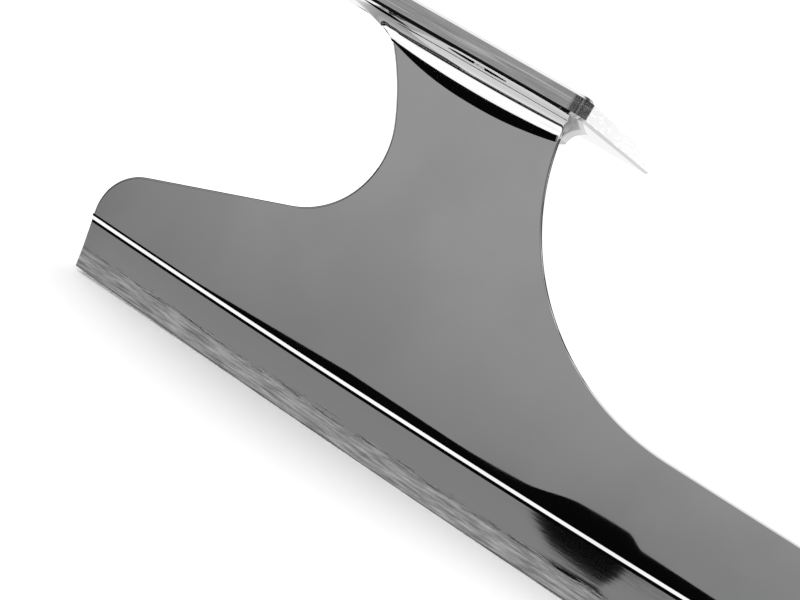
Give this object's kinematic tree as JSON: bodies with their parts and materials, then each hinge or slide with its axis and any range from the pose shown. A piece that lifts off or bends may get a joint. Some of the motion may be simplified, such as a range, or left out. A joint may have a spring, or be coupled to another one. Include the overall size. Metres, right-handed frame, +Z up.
{
  "type": "figure skate blade",
  "caption": "Chromed ice dance skate blade: a rockered, hollow-ground runner with toe picks, brazed by its stanchions to a heel plate and a sole plate with screw holes.",
  "frame": {"origin": "under the middle of the blade's length, on its centre plane, level with the lowest point of the edge", "axes": "+X towards the toe, +Y to the skater's left, +Z up, square to the mounting plates"},
  "size_m": [0.2332, 0.067, 0.0499],
  "materials": {
    "blade_chrome": "polished chrome on steel, ground bright along the edge",
    "plate_chrome": "polished chrome on steel, brushed edges",
    "braze_chrome": "polished chrome over the brazed fillet"
  },
  "bodies": {
    "root": {"blade": "blade_chrome", "heel_plate": "plate_chrome", "sole_plate": "plate_chrome", "heel_braze": "braze_chrome", "ball_braze": "braze_chrome", "toe_braze": "braze_chrome"}
  },
  "joints": []
}
